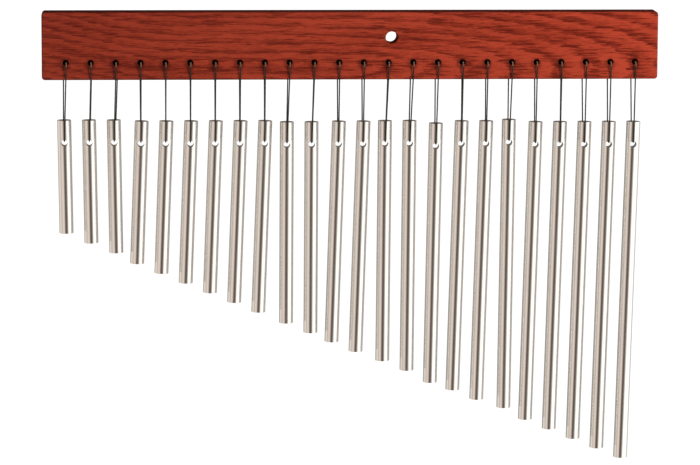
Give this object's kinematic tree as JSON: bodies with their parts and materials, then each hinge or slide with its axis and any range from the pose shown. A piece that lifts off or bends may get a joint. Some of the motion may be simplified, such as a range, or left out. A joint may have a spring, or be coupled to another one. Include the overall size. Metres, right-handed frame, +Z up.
{
  "type": "bar chimes",
  "caption": "Row of round metal bars of graded length, each hung on a cord loop below a stained wooden mantle with a stand hole; swept by hand for a run of bright notes.",
  "frame": {"origin": "on the stand hole's axis, at the middle of the mantle's thickness", "axes": "+X along the mantle towards the long bars, +Y through the mantle to its back, +Z up"},
  "size_m": [0.4182, 0.0228, 0.3098],
  "materials": {
    "stained_wood": "red-brown stain under a satin clear coat, open grain along the mantle",
    "bar_metal": "polished solid bar with a faint drawn grain",
    "black_cord": "thin black-brown twisted cord, matt"
  },
  "bodies": {
    "mantle": {"mantle": "stained_wood"},
    "cord_loop_01": {"cord_loop_01": "black_cord"},
    "chime_bar_01": {"chime_bar_01": "bar_metal"},
    "cord_loop_02": {"cord_loop_02": "black_cord"},
    "chime_bar_02": {"chime_bar_02": "bar_metal"},
    "cord_loop_03": {"cord_loop_03": "black_cord"},
    "chime_bar_03": {"chime_bar_03": "bar_metal"},
    "cord_loop_04": {"cord_loop_04": "black_cord"},
    "chime_bar_04": {"chime_bar_04": "bar_metal"},
    "cord_loop_05": {"cord_loop_05": "black_cord"},
    "chime_bar_05": {"chime_bar_05": "bar_metal"},
    "cord_loop_06": {"cord_loop_06": "black_cord"},
    "chime_bar_06": {"chime_bar_06": "bar_metal"},
    "cord_loop_07": {"cord_loop_07": "black_cord"},
    "chime_bar_07": {"chime_bar_07": "bar_metal"},
    "cord_loop_08": {"cord_loop_08": "black_cord"},
    "chime_bar_08": {"chime_bar_08": "bar_metal"},
    "cord_loop_09": {"cord_loop_09": "black_cord"},
    "chime_bar_09": {"chime_bar_09": "bar_metal"},
    "cord_loop_10": {"cord_loop_10": "black_cord"},
    "chime_bar_10": {"chime_bar_10": "bar_metal"},
    "cord_loop_11": {"cord_loop_11": "black_cord"},
    "chime_bar_11": {"chime_bar_11": "bar_metal"},
    "cord_loop_12": {"cord_loop_12": "black_cord"},
    "chime_bar_12": {"chime_bar_12": "bar_metal"},
    "cord_loop_13": {"cord_loop_13": "black_cord"},
    "chime_bar_13": {"chime_bar_13": "bar_metal"},
    "cord_loop_14": {"cord_loop_14": "black_cord"},
    "chime_bar_14": {"chime_bar_14": "bar_metal"},
    "cord_loop_15": {"cord_loop_15": "black_cord"},
    "chime_bar_15": {"chime_bar_15": "bar_metal"},
    "cord_loop_16": {"cord_loop_16": "black_cord"},
    "chime_bar_16": {"chime_bar_16": "bar_metal"},
    "cord_loop_17": {"cord_loop_17": "black_cord"},
    "chime_bar_17": {"chime_bar_17": "bar_metal"},
    "cord_loop_18": {"cord_loop_18": "black_cord"},
    "chime_bar_18": {"chime_bar_18": "bar_metal"},
    "cord_loop_19": {"cord_loop_19": "black_cord"},
    "chime_bar_19": {"chime_bar_19": "bar_metal"},
    "cord_loop_20": {"cord_loop_20": "black_cord"},
    "chime_bar_20": {"chime_bar_20": "bar_metal"},
    "cord_loop_21": {"cord_loop_21": "black_cord"},
    "chime_bar_21": {"chime_bar_21": "bar_metal"},
    "cord_loop_22": {"cord_loop_22": "black_cord"},
    "chime_bar_22": {"chime_bar_22": "bar_metal"},
    "cord_loop_23": {"cord_loop_23": "black_cord"},
    "chime_bar_23": {"chime_bar_23": "bar_metal"},
    "cord_loop_24": {"cord_loop_24": "black_cord"},
    "chime_bar_24": {"chime_bar_24": "bar_metal"}
  },
  "joints": [
    {"name": "loop_swing_01", "type": "hinge", "parent": "mantle", "child": "cord_loop_01", "pos_m": [-0.2206, 0, -0.0285], "axis": [1, 0, 0], "range_deg": [-35, 35], "deforming": ["cord_loop_01"]},
    {"name": "bar_rock_01", "type": "hinge", "parent": "cord_loop_01", "child": "chime_bar_01", "pos_m": [-0.2218, 0, -0.0718], "axis": [0, -1, 0], "range_deg": [-8, 6.2]},
    {"name": "loop_swing_02", "type": "hinge", "parent": "mantle", "child": "cord_loop_02", "pos_m": [-0.2038, 0, -0.0285], "axis": [1, 0, 0], "range_deg": [-35, 35], "deforming": ["cord_loop_02"]},
    {"name": "bar_rock_02", "type": "hinge", "parent": "cord_loop_02", "child": "chime_bar_02", "pos_m": [-0.205, 0, -0.0718], "axis": [0, -1, 0], "range_deg": [-6.1, 5.6]},
    {"name": "loop_swing_03", "type": "hinge", "parent": "mantle", "child": "cord_loop_03", "pos_m": [-0.187, 0, -0.0285], "axis": [1, 0, 0], "range_deg": [-35, 35], "deforming": ["cord_loop_03"]},
    {"name": "bar_rock_03", "type": "hinge", "parent": "cord_loop_03", "child": "chime_bar_03", "pos_m": [-0.1882, 0, -0.0718], "axis": [0, -1, 0], "range_deg": [-5.5, 3.3]},
    {"name": "loop_swing_04", "type": "hinge", "parent": "mantle", "child": "cord_loop_04", "pos_m": [-0.1702, 0, -0.0285], "axis": [1, 0, 0], "range_deg": [-35, 35], "deforming": ["cord_loop_04"]},
    {"name": "bar_rock_04", "type": "hinge", "parent": "cord_loop_04", "child": "chime_bar_04", "pos_m": [-0.17, 0, -0.0726], "axis": [0, -1, 0], "range_deg": [-3.2, 4.7]},
    {"name": "loop_swing_05", "type": "hinge", "parent": "mantle", "child": "cord_loop_05", "pos_m": [-0.1534, 0, -0.0285], "axis": [1, 0, 0], "range_deg": [-35, 35], "deforming": ["cord_loop_05"]},
    {"name": "bar_rock_05", "type": "hinge", "parent": "cord_loop_05", "child": "chime_bar_05", "pos_m": [-0.1532, 0, -0.0726], "axis": [0, -1, 0], "range_deg": [-4.6, 4.3]},
    {"name": "loop_swing_06", "type": "hinge", "parent": "mantle", "child": "cord_loop_06", "pos_m": [-0.1366, 0, -0.0285], "axis": [1, 0, 0], "range_deg": [-35, 35], "deforming": ["cord_loop_06"]},
    {"name": "bar_rock_06", "type": "hinge", "parent": "cord_loop_06", "child": "chime_bar_06", "pos_m": [-0.1364, 0, -0.0726], "axis": [0, -1, 0], "range_deg": [-4.2, 4]},
    {"name": "loop_swing_07", "type": "hinge", "parent": "mantle", "child": "cord_loop_07", "pos_m": [-0.1198, 0, -0.0285], "axis": [1, 0, 0], "range_deg": [-35, 35], "deforming": ["cord_loop_07"]},
    {"name": "bar_rock_07", "type": "hinge", "parent": "cord_loop_07", "child": "chime_bar_07", "pos_m": [-0.1196, 0, -0.0726], "axis": [0, -1, 0], "range_deg": [-3.9, 3.7]},
    {"name": "loop_swing_08", "type": "hinge", "parent": "mantle", "child": "cord_loop_08", "pos_m": [-0.103, 0, -0.0285], "axis": [1, 0, 0], "range_deg": [-35, 35], "deforming": ["cord_loop_08"]},
    {"name": "bar_rock_08", "type": "hinge", "parent": "cord_loop_08", "child": "chime_bar_08", "pos_m": [-0.1028, 0, -0.0726], "axis": [0, -1, 0], "range_deg": [-3.7, 3.5]},
    {"name": "loop_swing_09", "type": "hinge", "parent": "mantle", "child": "cord_loop_09", "pos_m": [-0.0862, 0, -0.0285], "axis": [1, 0, 0], "range_deg": [-35, 35], "deforming": ["cord_loop_09"]},
    {"name": "bar_rock_09", "type": "hinge", "parent": "cord_loop_09", "child": "chime_bar_09", "pos_m": [-0.086, 0, -0.0726], "axis": [0, -1, 0], "range_deg": [-3.4, 4.4]},
    {"name": "loop_swing_10", "type": "hinge", "parent": "mantle", "child": "cord_loop_10", "pos_m": [-0.0694, 0, -0.0285], "axis": [1, 0, 0], "range_deg": [-35, 35], "deforming": ["cord_loop_10"]},
    {"name": "bar_rock_10", "type": "hinge", "parent": "cord_loop_10", "child": "chime_bar_10", "pos_m": [-0.0708, 0, -0.0734], "axis": [0, -1, 0], "range_deg": [-4.4, 3.1]},
    {"name": "loop_swing_11", "type": "hinge", "parent": "mantle", "child": "cord_loop_11", "pos_m": [-0.0526, 0, -0.0285], "axis": [1, 0, 0], "range_deg": [-35, 35], "deforming": ["cord_loop_11"]},
    {"name": "bar_rock_11", "type": "hinge", "parent": "cord_loop_11", "child": "chime_bar_11", "pos_m": [-0.054, 0, -0.0734], "axis": [0, -1, 0], "range_deg": [-3.1, 2]},
    {"name": "loop_swing_12", "type": "hinge", "parent": "mantle", "child": "cord_loop_12", "pos_m": [-0.0358, 0, -0.0285], "axis": [1, 0, 0], "range_deg": [-35, 35], "deforming": ["cord_loop_12"]},
    {"name": "bar_rock_12", "type": "hinge", "parent": "cord_loop_12", "child": "chime_bar_12", "pos_m": [-0.0357, 0, -0.0731], "axis": [0, -1, 0], "range_deg": [-2, 2.8]},
    {"name": "loop_swing_13", "type": "hinge", "parent": "mantle", "child": "cord_loop_13", "pos_m": [-0.019, 0, -0.0285], "axis": [1, 0, 0], "range_deg": [-35, 35], "deforming": ["cord_loop_13"]},
    {"name": "bar_rock_13", "type": "hinge", "parent": "cord_loop_13", "child": "chime_bar_13", "pos_m": [-0.0189, 0, -0.0731], "axis": [0, -1, 0], "range_deg": [-2.8, 3.3]},
    {"name": "loop_swing_14", "type": "hinge", "parent": "mantle", "child": "cord_loop_14", "pos_m": [-0.0022, 0, -0.0285], "axis": [1, 0, 0], "range_deg": [-35, 35], "deforming": ["cord_loop_14"]},
    {"name": "bar_rock_14", "type": "hinge", "parent": "cord_loop_14", "child": "chime_bar_14", "pos_m": [-0.0039, 0, -0.0728], "axis": [0, -1, 0], "range_deg": [-3.3, 2.5]},
    {"name": "loop_swing_15", "type": "hinge", "parent": "mantle", "child": "cord_loop_15", "pos_m": [0.0146, 0, -0.0285], "axis": [1, 0, 0], "range_deg": [-35, 35], "deforming": ["cord_loop_15"]},
    {"name": "bar_rock_15", "type": "hinge", "parent": "cord_loop_15", "child": "chime_bar_15", "pos_m": [0.0129, 0, -0.0728], "axis": [0, -1, 0], "range_deg": [-2.5, 2.2]},
    {"name": "loop_swing_16", "type": "hinge", "parent": "mantle", "child": "cord_loop_16", "pos_m": [0.0314, 0, -0.0285], "axis": [1, 0, 0], "range_deg": [-35, 35], "deforming": ["cord_loop_16"]},
    {"name": "bar_rock_16", "type": "hinge", "parent": "cord_loop_16", "child": "chime_bar_16", "pos_m": [0.0308, 0, -0.0746], "axis": [0, -1, 0], "range_deg": [-2.2, 1.9]},
    {"name": "loop_swing_17", "type": "hinge", "parent": "mantle", "child": "cord_loop_17", "pos_m": [0.0482, 0, -0.0285], "axis": [1, 0, 0], "range_deg": [-35, 35], "deforming": ["cord_loop_17"]},
    {"name": "bar_rock_17", "type": "hinge", "parent": "cord_loop_17", "child": "chime_bar_17", "pos_m": [0.0483, 0, -0.0731], "axis": [0, -1, 0], "range_deg": [-1.9, 2.2]},
    {"name": "loop_swing_18", "type": "hinge", "parent": "mantle", "child": "cord_loop_18", "pos_m": [0.065, 0, -0.0285], "axis": [1, 0, 0], "range_deg": [-35, 35], "deforming": ["cord_loop_18"]},
    {"name": "bar_rock_18", "type": "hinge", "parent": "cord_loop_18", "child": "chime_bar_18", "pos_m": [0.0651, 0, -0.0731], "axis": [0, -1, 0], "range_deg": [-2.2, 2.8]},
    {"name": "loop_swing_19", "type": "hinge", "parent": "mantle", "child": "cord_loop_19", "pos_m": [0.0818, 0, -0.0285], "axis": [1, 0, 0], "range_deg": [-35, 35], "deforming": ["cord_loop_19"]},
    {"name": "bar_rock_19", "type": "hinge", "parent": "cord_loop_19", "child": "chime_bar_19", "pos_m": [0.0809, 0, -0.0722], "axis": [0, -1, 0], "range_deg": [-2.8, 1.6]},
    {"name": "loop_swing_20", "type": "hinge", "parent": "mantle", "child": "cord_loop_20", "pos_m": [0.0986, 0, -0.0285], "axis": [1, 0, 0], "range_deg": [-35, 35], "deforming": ["cord_loop_20"]},
    {"name": "bar_rock_20", "type": "hinge", "parent": "cord_loop_20", "child": "chime_bar_20", "pos_m": [0.099, 0, -0.0738], "axis": [0, -1, 0], "range_deg": [-1.6, 2]},
    {"name": "loop_swing_21", "type": "hinge", "parent": "mantle", "child": "cord_loop_21", "pos_m": [0.1154, 0, -0.0285], "axis": [1, 0, 0], "range_deg": [-35, 35], "deforming": ["cord_loop_21"]},
    {"name": "bar_rock_21", "type": "hinge", "parent": "cord_loop_21", "child": "chime_bar_21", "pos_m": [0.1158, 0, -0.0738], "axis": [0, -1, 0], "range_deg": [-2, 1.9]},
    {"name": "loop_swing_22", "type": "hinge", "parent": "mantle", "child": "cord_loop_22", "pos_m": [0.1322, 0, -0.0285], "axis": [1, 0, 0], "range_deg": [-35, 35], "deforming": ["cord_loop_22"]},
    {"name": "bar_rock_22", "type": "hinge", "parent": "cord_loop_22", "child": "chime_bar_22", "pos_m": [0.1326, 0, -0.0738], "axis": [0, -1, 0], "range_deg": [-1.9, 1.8]},
    {"name": "loop_swing_23", "type": "hinge", "parent": "mantle", "child": "cord_loop_23", "pos_m": [0.149, 0, -0.0285], "axis": [1, 0, 0], "range_deg": [-35, 35], "deforming": ["cord_loop_23"]},
    {"name": "bar_rock_23", "type": "hinge", "parent": "cord_loop_23", "child": "chime_bar_23", "pos_m": [0.1494, 0, -0.0738], "axis": [0, -1, 0], "range_deg": [-1.8, 1.8]},
    {"name": "loop_swing_24", "type": "hinge", "parent": "mantle", "child": "cord_loop_24", "pos_m": [0.1658, 0, -0.0285], "axis": [1, 0, 0], "range_deg": [-35, 35], "deforming": ["cord_loop_24"]},
    {"name": "bar_rock_24", "type": "hinge", "parent": "cord_loop_24", "child": "chime_bar_24", "pos_m": [0.1662, 0, -0.0738], "axis": [0, -1, 0], "range_deg": [-1.8, 8]}
  ]
}
